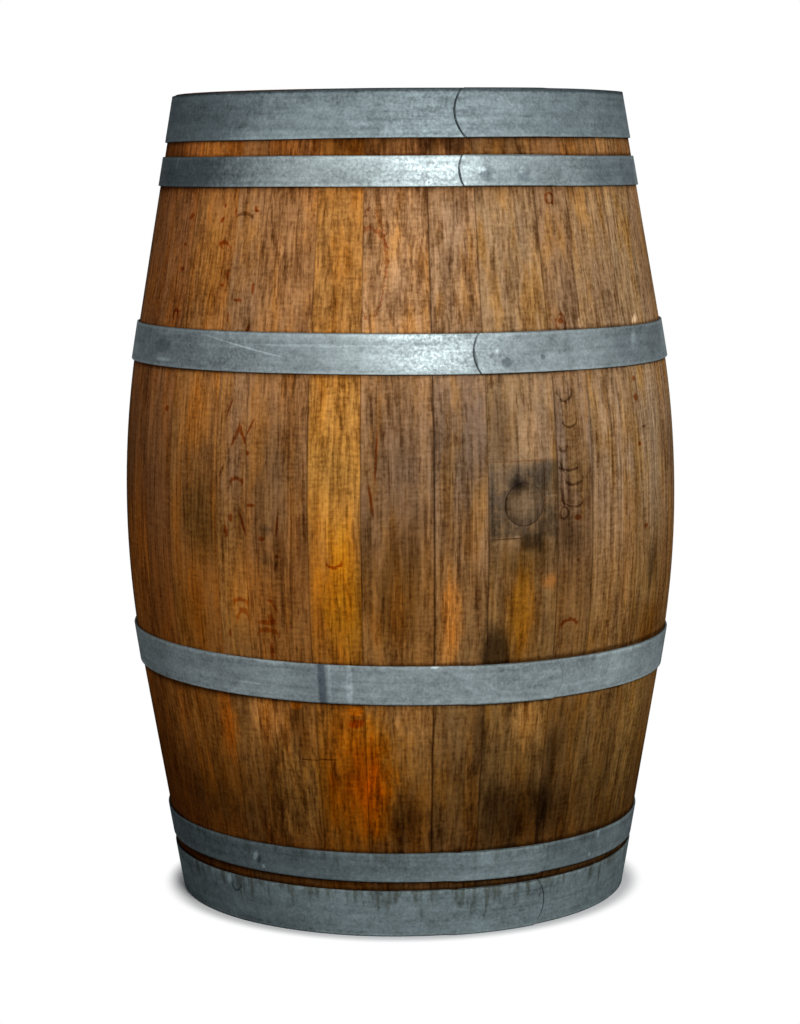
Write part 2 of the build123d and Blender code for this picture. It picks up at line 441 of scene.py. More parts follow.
# Stains that cross the joints
STAINS = stains(
    # Round the bung
    (-0.6, 374, 19, 72, (1.35, 0.98, 0.16), 0.88), (-6.2, 329, 23, 38, (0.18, 0.18, 0.2), 0.95),
    (2.3, 560, 30, 36, (1.28, 1.24, 1.2), 0.8), (10, 455, 20, 28, (0.48, 0.46, 0.46), 0.75),
    # Rust
    (-33.4, 195, 56, 92, (1.3, 1, 0.16), 0.95), (-32.4, 188, 34, 54, (0.98, 0.64, 0.4), 0.85),
    (-39, 190, 12, 22, (0.66, 0.58, 0.5), 0.8), (-32.6, 150, 48, 50, (1.45, 1.3, 0.6), 0.85),
    # Wet marks low down
    (0.5, 140, 56, 44, (0.42, 0.38, 0.4), 0.95), (9.6, 185, 13, 90, (0.42, 0.42, 0.48), 0.88),
    (-23.6, 136, 26, 44, (0.32, 0.29, 0.27), 0.88), (-7.9, 232, 11, 55, (0.45, 0.43, 0.45), 0.85),
    (3, 245, 30, 36, (2.1, 1.95, 1.65), 0.8), (-23, 255, 22, 30, (1.22, 1.24, 1.34), 0.75),
    (-54, 255, 30, 34, (1.6, 1.6, 1.7), 0.8), (-46.5, 240, 14, 50, (0.5, 0.46, 0.42), 0.75),
    (-64.5, 240, 16, 50, (1.7, 1.25, 0.5), 0.8), (-54, 220, 60, 70, (1.26, 1.26, 1.24), 0.8),
    (-82, 235, 50, 70, (1.45, 1.55, 1.5), 0.8), (-70, 140, 50, 30, (0.66, 0.72, 0.9), 0.8),
    # Bilge
    (-51.4, 467, 9, 6, (0.55, 0.58, 0.62), 0.85), (-51.2, 434, 9, 10, (0.55, 0.58, 0.62), 0.85),
    (37.6, 404, 15, 32, (0.42, 0.42, 0.44), 0.88), (38.5, 335, 48, 36, (0.82, 0.66, 0.42), 0.85),
    (-67.3, 472, 34, 56, (0.55, 0.62, 0.55), 0.8), (-71, 360, 34, 50, (0.85, 0.8, 0.55), 0.8),
    (-56, 395, 30, 60, (1.4, 1.25, 0.9), 0.75),
    # Between the top hoops
    (-34, 888, 56, 16, (0.36, 0.3, 0.2), 0.88), (-14, 890, 38, 16, (0.3, 0.26, 0.24), 0.88),
    (-80, 888, 60, 20, (1.4, 1.6, 1.8), 0.8), (-78, 888, 50, 18, (1.35, 1.3, 1.25), 0.8),
)
# Stains that stop at the joints of one stave
STAVE_STAINS = {
    "stave_20": stains((-94, 400, 70, 110, (1.9, 2, 1.8), 0.8)),
    "stave_22": stains(
        (-69, 590, 26, 45, (1.4, 1.2, 0.7), 0.75), (-69, 760, 26, 60, (1.2, 1.1, 0.7), 0.7),
    ),
    "stave_23": stains(
        (-59.5, 420, 34, 110, (1.48, 1.42, 1), 0.82), (-59.5, 570, 34, 100, (1.22, 1.22, 1.24), 0.8),
    ),
    "stave_24": stains(
        (-48.5, 160, 40, 70, (1.5, 1.8, 2.1), 0.8), (-50, 520, 30, 80, (0.75, 0.78, 0.82), 0.75),
    ),
    "stave_25": stains(
        (-37.3, 530, 50, 130, (1.65, 1.62, 1.15), 0.9), (-35.6, 395, 32, 85, (1.2, 1.16, 0.38), 0.95),
    ),
    "stave_26": stains(
        (-29.6, 185, 30, 70, (1.25, 1.02, 0.3), 0.9), (-30.6, 152, 22, 44, (1.35, 1.2, 0.5), 0.85),
        (-25, 395, 60, 90, (0.6, 0.53, 0.35), 0.88), (-25, 530, 60, 150, (0.55, 0.55, 0.59), 0.85),
    ),
    "stave_27": stains(
        (-15.2, 370, 16, 66, (2.2, 1.75, 1), 0.85), (-12.8, 225, 40, 60, (0.76, 0.76, 0.8), 0.8),
        (-12.8, 570, 50, 90, (0.66, 0.69, 0.8), 0.85),
    ),
    "bung_stave": stains(
        (6, 407, 13, 10, (1.55, 1.15, 0.75), 0.8), (-4.8, 572, 20, 50, (0.6, 0.56, 0.52), 0.85),
        (0.8, 520, 42, 20, (0.66, 0.68, 0.7), 0.85), (-0.5, 432, 46, 26, (0.6, 0.57, 0.46), 0.85),
        (4.5, 590, 30, 50, (1.15, 1.15, 1.2), 0.8), (0, 888, 45, 18, grey(0.75), 0.8),
    ),
    "stave_01": stains(
        (11.9, 230, 40, 60, grey(0.76), 0.8), (11.9, 145, 40, 50, grey(0.62), 0.85),
        (12, 550, 40, 80, (1, 1.12, 1.45), 0.8),
    ),
    "stave_02": stains((24, 460, 55, 180, (1.62, 1.64, 1.74), 0.82)),
    "stave_03": stains(
        (36, 145, 40, 50, grey(1.4), 0.8), (36.5, 530, 50, 150, (1.4, 1.45, 1.62), 0.8),
        (36, 210, 36, 85, (1.48, 1.5, 1.47), 0.8), (36.5, 888, 50, 18, grey(1.28), 0.8),
    ),
    "stave_04": stains((49, 470, 70, 170, grey(1.34), 0.8), (49, 770, 70, 80, grey(0.8), 0.8)),
}

# Ray flecks, knots and chips: small firm marks that show on the staves beside the bung
RAY_TINT = (0.62, 0.31, 0.15)
TAWNY_TINT = (0.76, 0.47, 0.24)
DARK_TINT = (0.48, 0.38, 0.30)
CUP_TINT = (0.40, 0.34, 0.29)
PALE_TINT = (2.10, 2.30, 2.70)
CHIP_TINT = (1.50, 1.60, 1.80)
FLECK_LINE = 0.0026             # how far a curved fleck's line fades out
Fleck = namedtuple("Fleck", "shape angle height half_width half_height slant tint")


def flecks(shape, tint, *rows):
    """Flecks of a shape: angle, height and half sizes in millimetres, and slant and own tint where given."""
    made = []
    for angle, height, half_width, half_height, *rest in rows:
        slant = rest[0] if rest else 0.0
        own_tint = rest[1] if len(rest) > 1 else tint
        sizes = scaled((height, half_width, half_height), MILLIMETRE)
        made.append(Fleck(shape, angle, *sizes, slant, own_tint))
    return made


FLECKS = [
    *flecks(
        "tick", RAY_TINT,
        # High on the left
        (-57.8, 818.5, 2.2, 3.6, -0.2), (-57.4, 816.5, 3, 1.5), (-63.4, 816, 1.3, 4.5),
        (-66.9, 822, 1.6, 2.8), (-78.5, 810, 4.2, 3.8, 0.6), (-67.4, 806, 2.8, 3.4, 0.5),
        (-64, 746, 2, 5), (-65.4, 734, 3.4, 2.2), (-56.8, 731, 2, 7), (-60.5, 718, 6.2, 1.8),
        (-62.7, 698, 1.4, 6.5), (-57.2, 687, 2.6, 5.5, 0.4), (-79.8, 750, 3.4, 2.6), (-79.9, 778, 2.6, 2.2),
        # On the left at the bilge
        (-79.3, 593, 3.5, 3.2), (-60.1, 601, 1.4, 9, 0.4), (-55, 580, 1.4, 10, 0.5),
        (-55.5, 551, 2.4, 3), (-54.6, 493.5, 5.6, 2), (-59.4, 478, 2.6, 5.2),
        (-60.7, 463, 2.4, 7.2, -0.2), (-56.5, 472, 2, 13, -0.3), (-52.2, 457, 3.6, 3),
        (-48.9, 472, 1.4, 14, 0.1), (-49, 438.5, 2.2, 2.2), (-51.1, 331, 2.2, 9.5),
        (-60.9, 347, 1.7, 4.5),
        # Beside the tawny stave and beside the bung
        (-29.1, 551, 1.4, 28, 0.05), (-30.1, 503, 1.6, 18, -0.15), (12.3, 475, 5.4, 3.4),
        (12.5, 427, 2.2, 1.8),
        # On the right
        (10.8, 693, 4, 3.6), (31.9, 601, 4.8, 4.4), (31.9, 623, 3.6, 2.8), (34.3, 453, 4, 3),
        (32.2, 548, 4, 2.8),
    ),
    *flecks(
        "tick", DARK_TINT,
        (-80.6, 799, 1.4, 10), (-61.7, 530, 2, 7, 0.5), (-49.3, 427.5, 2, 6.5, 0.3),
        (-44.6, 207, 11.5, 1), (-40.5, 208.5, 11.5, 1), (34.4, 567, 5, 1.6),
        (39.1, 486, 1.6, 9, -0.3),
    ),
    *flecks(
        "tick", TAWNY_TINT,
        (-50.9, 388.2, 4.2, 1.6, -0.5), (-49.9, 381.5, 1.8, 6.6, -0.7), (-51.9, 363.1, 12.5, 3),
        (-50.7, 367.5, 4, 5.8, -0.5),
    ),
    *flecks("tick", CUP_TINT, (8.6, 532, 1.7, 6, -0.5), (8.6, 499, 1.8, 10, -0.2)),
    *flecks("tick", PALE_TINT, (35.8, 688, 6, 6, 0.5), (16, 690, 2.4, 6)),
    # Lines of the stain round the bung, then marks at the rust under the hoop
    *flecks(
        "tick", CHIP_TINT,
        (6.1, 502, 8, 1.2), (-1.5, 459, 4, 1.4), (-0.8, 542, 42, 0.9, 0, (0.84, 0.7, 0.62)),
        (-3.8, 457, 19, 0.9, 0, (0.5, 0.46, 0.43)), (-6.8, 498, 1.4, 44, 0, (0.52, 0.56, 0.64)),
        (-33.8, 266, 8, 6, 0, (1.8, 1.35, 0.4)), (-33.7, 252, 10, 5, 0.4, (1, 0.52, 0.28)),
        (-46.7, 270, 6.5, 5, 0, (1.8, 1.3, 0.4)),
    ),
    *flecks("wedge", RAY_TINT, (-57.5, 569.5, 9.5, 11.6)),
    *flecks(
        "arch", RAY_TINT,
        (-65.3, 775.5, 6.8, 5.6, -0.7), (-80, 696.5, 5.5, 7.5), (-58, 515.8, 8.4, 6.6),
        (11, 353, 11, 7), (-60.9, 809, 11, 4, 0, DARK_TINT),
        (-30.6, 776.5, 16.5, 20, 0, (0.74, 0.52, 0.4)),
    ),
    *flecks(
        "arch", TAWNY_TINT,
        (-57.65, 380.1, 9.6, 6.6), (-57.3, 362.5, 8.8, 11.5), (-51.7, 348, 14.2, 6.2),
    ),
    # Crescents beside the bung, and one on the tawny stave
    *flecks(
        "cup", CUP_TINT,
        (10, 617, 10.2, 12.5), (10.85, 583, 9.8, 7), (9, 556, 6, 6), (10.4, 533.5, 13.9, 5),
        (11.4, 520, 13.6, 8), (10.9, 496.5, 14.5, 9.5, -0.5), (-37.4, 435, 9, 6, 0, RAY_TINT),
    ),
    # Knots
    *flecks(
        "ring", RAY_TINT,
        (11.4, 828, 5, 6), (10.8, 690, 6.5, 10), (8.9, 481.5, 5.5, 6.6, 0, CUP_TINT),
        (-30.6, 758.5, 18, 57, 0, (0.7, 0.48, 0.36)),
    ),
]


def mark_offsets(f, place, mark, slant=0.0):
    """Place within a mark's ellipse: sideways and upward from its middle, 1 at its edge."""
    x, y, _ = scaled(tangent(mark.angle), 1 / mark.half_width)
    sideways = f.along(place, (x, y, -slant / mark.half_width)) + slant * mark.height / mark.half_width
    upward = f.along(place, (0, 0, 1 / mark.half_height)) - mark.height / mark.half_height
    return sideways, upward


def reaches(stain, first, last):
    """Whether a stain reaches the stave between two angles."""
    reach = degrees(stain.half_width * STAIN_REACH / BILGE_RADIUS)
    return first - reach < stain.angle < last + reach


def stain_mask(f, place, stain, ragged):
    """Where a stain lies, from 0 to its strength, fading out along the grain."""
    sideways, upward = mark_offsets(f, place, stain)
    distance = f.length(sideways, upward) + ragged * STAIN_RAGGED
    return (1 - f.step(distance, *STAIN_FADE)) * stain.strength


def bung_stain_mask(f, place, ragged):
    """The squarish grey stain round the bung, patchy inside and darker along its sides."""
    sideways, upward = mark_offsets(f, place, BUNG_STAIN)
    reach = f.most(abs(sideways), abs(upward)) + ragged * 0.3
    patches = f.step(f.noise(place, 4, 0.7, scale=60.0) + f.step(reach, 0.75, 0.95) * 0.08, 0.38, 0.60)
    faded = 1 - f.step(upward - sideways * 0.6 + ragged * STAIN_RAGGED, 0.50, 1.40) * 0.5
    return (1 - f.step(reach, 0.84, 1.10)) * (patches * 0.65 + 0.35) * faded * BUNG_STAIN.strength


def fleck_wobble(f, place):
    """What makes the edges of flecks uneven, about 0."""
    return f.noise(place, scale=190.0) - 0.5


def fleck_mask(f, place, fleck, wobble):
    """Where a fleck lies, from 0 to 1. An arch is the upper part of a ring, and a cup the lower part."""
    sideways, upward = mark_offsets(f, place, fleck, fleck.slant)
    if fleck.shape == "tick":
        return 1 - f.step(f.length(sideways, upward) + wobble * 0.5, 0.65, 1.35)
    uneven = wobble * FLECK_LINE * 1.6
    if fleck.shape == "wedge":
        steep = sqrt((1 / fleck.half_height) ** 2 + (1.6 / fleck.half_width) ** 2)
        off = abs(upward + abs(sideways) * 1.6 - 0.8) / steep + uneven
        line = 1 - f.step(off - upward * 0.0010, FLECK_LINE * 0.45, FLECK_LINE * 1.1)
        return line * f.step(upward, -1.3, -0.7)
    distance = f.length(sideways, upward)
    slope = f.length(sideways / fleck.half_width, upward / fleck.half_height)
    off = abs(distance + wobble * 0.5 - 1) * distance / slope + uneven
    if fleck.shape == "ring":
        return 1 - f.step(off, FLECK_LINE * 0.1, FLECK_LINE * 0.8)
    if fleck.shape == "arch":
        line = 1 - f.step(off - upward * 0.0007, FLECK_LINE * 0.2, FLECK_LINE)
        return line * f.step(upward, -0.6, 0.3)
    line = 1 - f.step(off + upward * 0.0004, FLECK_LINE * 0.1, FLECK_LINE * 0.65)
    return line * (1 - f.step(upward, -0.3, 0.6))


RAY_CELL_WIDTH, RAY_CELL_HEIGHT = 0.020, 0.030
RAY_CHANCE = 0.16               # share of the cells that hold a fleck


def ray_flecks(f, across, along, seed):
    """Ray flecks of a stave seen only from other sides: small arches and ticks, each in a cell of its own."""
    place = f.point(across / RAY_CELL_WIDTH, along / RAY_CELL_HEIGHT + seed, 0.0)
    look = f.node("SeparateColor", {}, {0: f.cells(place, "Color")})
    lean = Value(f, look.socket.node.outputs[1])
    local = f.node("VectorMath", {"operation": "SUBTRACT"}, {0: place, 1: f.cells(place, "Position")})
    sideways, upward, _ = f.axes(local)
    curve = upward + sideways * sideways * 2.4 + sideways * (lean - 0.5) * 3.0
    thin = 1 - f.step(abs(curve), 0.03, 0.09)
    short = 1 - f.step(abs(sideways), 0.16, 0.30)
    return thin * short * f.maths("LESS_THAN", look, RAY_CHANCE)


def stave_look(name, seed):
    """A stave's look: its own where the photograph shows it, or a usual one."""
    if name in STAVE_LOOKS:
        return STAVE_LOOKS[name]
    luck = random.Random(seed)
    red, green, blue = scaled(USUAL_TONE, luck.uniform(0.92, 1.06))
    tone = srgb(red, green * luck.uniform(0.97, 1.02), blue * luck.uniform(0.9, 1.05))
    return StaveLook(tone, luck.uniform(0.25, 0.6), luck.uniform(0.3, 0.6))


def stave_finish(name, first, last, seed, next_joint):
    """Weathered oak for the outside of one stave, with its own tone, flecks and stains, and painted shade
    beside the hoops.
    """
    look = stave_look(name, seed)
    centre = (first + last) / 2
    f = Finish("oak_" + name)
    place = f.place()
    across = f.along(place, tangent(centre))
    depth = f.along(place, outward(centre))
    along = f.along(place, (0, 0, 1))
    grain = oak_grain(f, across, depth, along, seed, look.coarse)
    blotch = f.noise((across * 28 + seed, depth * 28, along * 10), 4, 0.6)
    ragged = f.noise((across * 75 + seed, depth * 75, along * 15), 4, 0.65) - 0.5 + (blotch - 0.5) * 0.6

    colour = f.tint(1.0, f.ramp((along + ragged * 0.03) / HEIGHT, AGE_TINTS), look.tone)
    warmth = f.noise((across * 50 + seed, depth * 50, along * 5), 3, 0.6) + (blotch - 0.5) * 0.6
    colour = f.tint(f.step(warmth, 0.48, 0.68) * 0.8, colour, WARM_TINT)
    colour = f.tint((1 - f.step(warmth, 0.34, 0.50)) * 0.6, colour, COOL_TINT)
    colour = f.tint(1.0, colour, grain.tints)
    crossing = [stain for stain in STAINS + SMUDGES if reaches(stain, first, last)]
    for stain in crossing + STAVE_STAINS.get(name, []):
        colour = f.tint(stain_mask(f, place, stain, ragged), colour, stain.tint)
    if abs(centre) < 15:
        colour = f.tint(bung_stain_mask(f, place, ragged), colour, BUNG_STAIN.tint)
    wobble = fleck_wobble(f, place)
    for fleck in FLECKS:
        if first < fleck.angle < last:
            colour = f.tint(fleck_mask(f, place, fleck, wobble), colour, fleck.tint)
    if name not in STAVE_LOOKS:
        colour = f.tint(ray_flecks(f, across, along, seed) * 0.8, colour, RAY_TINT)

    low = 1.15 - along * 0.5
    joint_lines = []
    for inward, strength in ((tangent(first), look.joint), (scaled(tangent(last), -1), next_joint)):
        gap = f.along(place, inward) + ragged * JOINT_WANDER
        joint_lines.append((1 - f.step(gap, *JOINT_LINE)) * strength)
    # Painted shade beside the hoops, joined to the dirt along the joints
    hoop_shade = f.ramp((along + ragged * 0.005) / HEIGHT, HOOP_SHADE_STOPS)
    dirt_and_shade = f.most(f.most(*joint_lines) * low, hoop_shade * 0.8)
    return oak_surface(f, f.tint(dirt_and_shade, colour, DIRT_AND_SHADE_TINT), grain, OAK_ROUGHNESS, STAVE_RELIEF)


BOARD_TONE = (150, 113, 75)
BOARD_BLOTCH_TINT = (0.85, 0.78, 0.62)
BOARD_DAMP_TINT = (0.34, 0.28, 0.22)
BOARD_DAMP = (0.165, 0.245)     # distances from the axis between which a head grows damp


def board_finish(name, seed, light):
    """Planed oak of a head board, grain along Y, darker towards the rim."""
    f = Finish(name)
    across, along, depth = f.axes(f.place())
    grain = oak_grain(f, across, depth, along, seed, 0.5)
    blotch = f.noise((across * 16, along * 7, seed), 4, 0.6)
    colour = f.tint(1.0, grain.tints, srgb(*scaled(BOARD_TONE, light)))
    colour = f.tint(f.step(blotch, 0.35, 0.75) * 0.7, colour, BOARD_BLOTCH_TINT)
    rim = f.length(across, along)
    damp = f.step(rim + (blotch - 0.5) * 0.05, *BOARD_DAMP)
    colour = f.tint(damp * 0.75, colour, BOARD_DAMP_TINT)
    return oak_surface(f, colour, grain, OAK_ROUGHNESS, OAK_RELIEF)


END_GRAIN_COLOURS = [(0.25, srgb(50, 32, 18)), (0.5, srgb(104, 74, 46)), (0.75, srgb(146, 112, 76))]
END_GRAIN_RELIEF = 0.0004


def end_grain_finish():
    """Sawn end grain at the chimes and in the bung hole."""
    f = Finish("oak_end_grain")
    place = f.place()
    rings = f.noise(place, 4, 0.7, scale=260.0)
    pits = f.step(f.noise(place, 2, 0.6, scale=700.0), 0.56, 0.68)
    patch = f.noise(place, 4, 0.6, scale=14.0)
    tone = rings * 0.5 + patch * 0.5
    colour = f.ramp(tone, END_GRAIN_COLOURS)
    colour = f.tint(pits * 0.8, colour, PORE_TINT)
    relief = rings * 0.6 - pits * 0.6
    return f.surface(colour, 0.74 + pits * 0.15, relief, END_GRAIN_RELIEF, Specular_IOR_Level=OAK_SHINE)


TOASTED_COLOURS = [(0.3, srgb(24, 14, 10)), (0.5, srgb(54, 32, 20)), (0.75, srgb(92, 56, 34))]
TOASTED_RELIEF = 0.0006


def toasted_finish():
    """Inside of the staves, toasted over a fire and stained by wine."""
    f = Finish("oak_toasted_inside")
    place = f.place()
    x, y, z = f.axes(place)
    streak = f.noise((x * 90, y * 90, z * 5), 4, 0.65)
    blister = f.noise(place, 4, 0.6, scale=90.0)
    tone = streak * 0.6 + blister * 0.4
    colour = f.ramp(tone, TOASTED_COLOURS)
    return f.surface(colour, 0.78 - blister * 0.12, streak * 0.5 + blister * 0.5, TOASTED_RELIEF)


BUNG_TONE = (108, 86, 62)
BUNG_SEED, DOWEL_SEED = 31.0, 7.0
BUNG_DAMP_TINT = (0.46, 0.46, 0.50)
BUNG_EDGE_TINT = (0.35, 0.33, 0.32)
BUNG_DAMP = (0.008, 0.025)      # distances from its middle between which the bung grows damp
BUNG_EDGE_LINE = (0.0222, 0.0236)
DOWEL_TONE = (160, 120, 78)
DOWEL_RELIEF = 0.0002


def bung_finish():
    """Turned oak plug, stained dark round its rim."""
    f = Finish("oak_bung")
    place = f.place()
    across, depth, height = f.axes(place)
    height = height - BUNG_LEVEL
    grain = oak_grain(f, across, depth, height, BUNG_SEED, 0.4)
    blotch = f.noise(place, 4, 0.65, scale=70.0)
    colour = f.tint(1.0, grain.tints, srgb(*BUNG_TONE))
    rim = f.length(across + 0.003, height - 0.003) + (blotch - 0.5) * 0.024
    colour = f.tint(f.step(rim, *BUNG_DAMP) * 0.8, colour, BUNG_DAMP_TINT)
    for smudge in SMUDGES:
        colour = f.tint(stain_mask(f, place, smudge, (blotch - 0.5) * 0.8), colour, smudge.tint)
    edge = f.step(f.length(across, height), *BUNG_EDGE_LINE) * f.step(blotch, 0.44, 0.56)
    colour = f.tint(edge * 0.7, colour, BUNG_EDGE_TINT)
    return oak_surface(f, colour, grain, OAK_ROUGHNESS + 0.02, OAK_RELIEF)


def dowel_finish():
    """Plain cleft oak of the hidden dowels."""
    f = Finish("oak_dowel")
    along, across, depth = f.axes(f.place())
    grain = oak_grain(f, across, depth, along, DOWEL_SEED, 0.3)
    colour = f.tint(1.0, grain.tints, srgb(*DOWEL_TONE))
    return oak_surface(f, colour, grain, OAK_ROUGHNESS - 0.04, DOWEL_RELIEF)


# Galvanised hoops: place and size, which way the free end points, how round it is, tilt, rivets' rise, zinc
Zinc = namedtuple("Zinc", "tone roughness metal lap_dirt drips")
Hoop = namedtuple("Hoop", "name height width way bulge tilt rivet_rise zinc")
HOOPS = [
    Hoop("top_head_hoop", 0.9222, 0.055, -1, 0.013, -0.0008, 0.0006,
         Zinc(srgb(124, 137, 141), 0.62, 0.20, 0.9, 0.0)),
    Hoop("top_quarter_hoop", 0.8590, 0.0345, -1, 0.005, 0.0011, 0.0016,
         Zinc(srgb(128, 139, 142), 0.56, 0.60, 0.8, 0.0)),
    Hoop("top_bilge_hoop", 0.6610, 0.045, -1, 0.008, 0.0010, 0.0007,
         Zinc(srgb(125, 135, 138), 0.52, 0.60, 0.7, 0.0)),
    Hoop("bottom_bilge_hoop", 0.2968, 0.045, 1, 0.012, 0.0045, 0.0016,
         Zinc(srgb(128, 139, 142), 0.50, 0.08, 0.3, 0.2)),
    Hoop("bottom_quarter_hoop", 0.0826, 0.0345, 1, 0.012, 0.0024, 0.0008,
         Zinc(srgb(106, 118, 121), 0.56, 0.06, 0.3, 0.6)),
    Hoop("bottom_head_hoop", 0.0280, 0.055, 1, 0.012, 0.0, 0.0014,
         Zinc(srgb(110, 123, 126), 0.60, 0.06, 0.9, 1.0)),
]
HOOP_SHADE_FADE = 0.005              # how far the painted shade beside a hoop goes


def hoop_shade_stops():
    """Ramp stops over the height for painted shade: 1 under the hoops and fading just past their edges."""
    stops = []
    for hoop in sorted(HOOPS, key=lambda h: h.height):
        low = hoop.height - hoop.width / 2
        high = hoop.height + hoop.width / 2
        stops += [(low - HOOP_SHADE_FADE, 0.0), (low, 1.0), (high, 1.0), (high + HOOP_SHADE_FADE * 0.6, 0.0)]
    return [(min(max(z / HEIGHT, 0), 1), level if 0 < z < HEIGHT else 1.0) for z, level in stops]


HOOP_SHADE_STOPS = hoop_shade_stops()

# Scratches, dents and stains on the hoops, and painted shade and highlights where light falls on them
# Tints of scuffs and dull patches, also used for painted shade beside the rivets
SCUFF_AND_SHADE_TINT = (0.50, 0.52, 0.54)
DULL_PATCH_AND_SHADE_TINT = (0.62, 0.64, 0.66)
TOP_RIM_SHADE_TINT = (0.28, 0.29, 0.30)
HOOP_MARKS = {
    "top_head_hoop": [
        *flecks(
            "tick", TOP_RIM_SHADE_TINT,
            # Painted shade along the top rim, all round
            (VIEW_ANGLE, 950, 900, 4.2), (VIEW_ANGLE + 180, 950, 900, 4.2),
            # Painted shade over the left and right sides, darker on the left
            (-97, 922, 160, 80, 0, (0.54, 0.55, 0.56)), (38, 922, 130, 80, 0, (0.74, 0.75, 0.76)),
            (13.5, 925, 4.5, 22, 0, grey(1.2)),
        ),
        *flecks("ring", grey(1.25), (28.6, 909, 4, 4)),
    ],
    "top_quarter_hoop": flecks(
        "tick", DULL_PATCH_AND_SHADE_TINT,
        # Painted shade beside the two rivets, then a pale mark
        (-4.7, 853, 8, 6.5, -0.3), (4.5, 852, 7.5, 5.5, -0.3), (-88.7, 872, 1.4, 8, 0.3, grey(1.7)),
        # Painted shade over the left side, a painted highlight across the middle and painted shade over the
        # right
        (-97, 858, 160, 80, 0, (0.26, 0.27, 0.28)), (-29, 858, 105, 60, 0, (1.35, 1.33, 1.3)),
        (40, 858, 80, 60, 0, (0.64, 0.66, 0.68)),
    ),
    "top_bilge_hoop": flecks(
        "tick", SCUFF_AND_SHADE_TINT,
        # Painted shade below the two rivets, then a pale mark
        (-3, 650, 6, 6), (5, 655, 3, 3), (-58, 668, 4.5, 10, -5, grey(1.7)),
        # Painted shade over the left and right sides
        (-97, 660, 190, 90, 0, (0.66, 0.67, 0.68)), (40, 660, 90, 90, 0, (0.76, 0.77, 0.78)),
        # A painted highlight across the middle, then a pale streak
        (-24, 660, 90, 60, 0, (1.12, 1.12, 1.1)), (-42, 670.5, 70, 1.6, 0, grey(1.35)),
        (-83, 664, 20, 8, 0, DULL_PATCH_AND_SHADE_TINT), (-82, 648, 22, 2.2, 0, grey(1.4)),
        (33, 667, 5, 12, 0.4, grey(1.35)),
    ),
    "bottom_bilge_hoop": flecks(
        "tick", grey(1.30),
        (-38.9, 297, 2, 30), (-34.9, 297, 3.6, 30), (-40.5, 297, 4.6, 40, 0, (0.44, 0.46, 0.5)),
        (-42, 297, 30, 60, 0, (0.82, 0.83, 0.84)), (38, 297, 90, 60, 0, (1.24, 1.24, 1.23)),
        (-17.9, 318, 5, 2, 0.4, grey(2.2)), (-57, 292, 16, 1.6, -2, grey(1.4)),
    ),
    "bottom_quarter_hoop": flecks(
        "tick", grey(2.00),
        # Two pale spots, then painted shade over the left side
        (-59, 73, 2.4, 2.4), (-46.3, 64, 2.6, 2.2), (-75, 81, 200, 60, 0, (0.55, 0.56, 0.57)),
        (-61.1, 84, 3, 6, 0.4, grey(2.2)), (-60, 81, 2.4, 6, 0.4, SCUFF_AND_SHADE_TINT),
        (20, 83, 50, 60, 0, (0.76, 0.77, 0.78)), (28.6, 92, 3, 5, 0, grey(1.5)),
        (26, 71, 2.6, 2.6, 0, grey(1.6)),
    ),
    "bottom_head_hoop": [
        # Painted shade over the left side, then a pale mark
        *flecks("tick", (0.7, 0.71, 0.72), (-84, 28, 170, 80), (-71.2, 47, 3.6, 6, 0.3, grey(1.9))),
        *flecks("cup", (0.42, 0.44, 0.46), (-68.6, 44, 7, 8, 0.3)),
    ],
}


ZINC_TONES = [(0.2, 0.4), (0.5, 1.0), (0.8, 1.6)]
CLOUDED_TINT = (0.78, 0.80, 0.81)
WORN_EDGE_TINT = (1.28, 1.28, 1.26)
EDGE_SHADE_TINT = (0.35, 0.35, 0.34)
DRIP_TINT = (0.56, 0.52, 0.45)
LAP_TINT = (0.12, 0.13, 0.14)
WORN_EDGE = (0.0050, 0.0022)    # distances from a strip's edge between which its wear grows
EDGE_SHADE = (0.0014, 0.0004)    # distances from a strip's edge between which a painted shade line darkens it
LAP_LINE = (0.0003, 0.0012)     # distances from the free end between which the dark line along it fades
ZINC_RELIEF = 0.00018
GRAZING_SHINE = 0.35            # how bright the zinc is where it is seen at a slant


